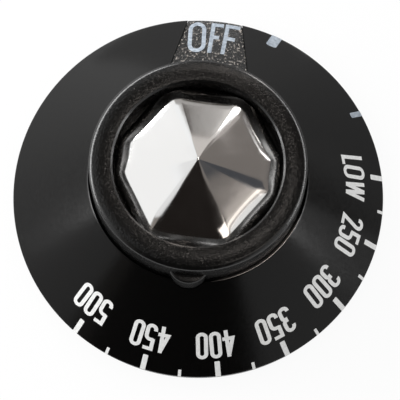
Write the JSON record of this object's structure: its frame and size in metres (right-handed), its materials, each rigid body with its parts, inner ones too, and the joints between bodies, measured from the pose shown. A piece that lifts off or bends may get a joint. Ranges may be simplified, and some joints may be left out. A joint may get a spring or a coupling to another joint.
{
  "type": "oven control knob",
  "caption": "Round oven control knob: a conical black dial plate with a temperature scale, a raised grip ring and a faceted chrome cap, pushed onto a D-shaped stem.",
  "frame": {"origin": "on the stem axis, at the plane of the rear rim", "axes": "+Z along the stem axis out of the front of the knob, +Y toward OFF"},
  "size_m": [0.0635, 0.0631, 0.0243],
  "materials": {
    "black_phenolic": "moulded, finely pebbled, satin",
    "black_coated_sheet": "satin black coating with white print, bare metal at the cut edges",
    "bright_chrome": "polished bright plating",
    "spring_steel": "rolled strip, plain"
  },
  "bodies": {
    "root": {"knob_body": "black_phenolic", "dial_plate": "black_coated_sheet", "faceted_cap": "bright_chrome", "stem_spring": "spring_steel"}
  },
  "joints": []
}
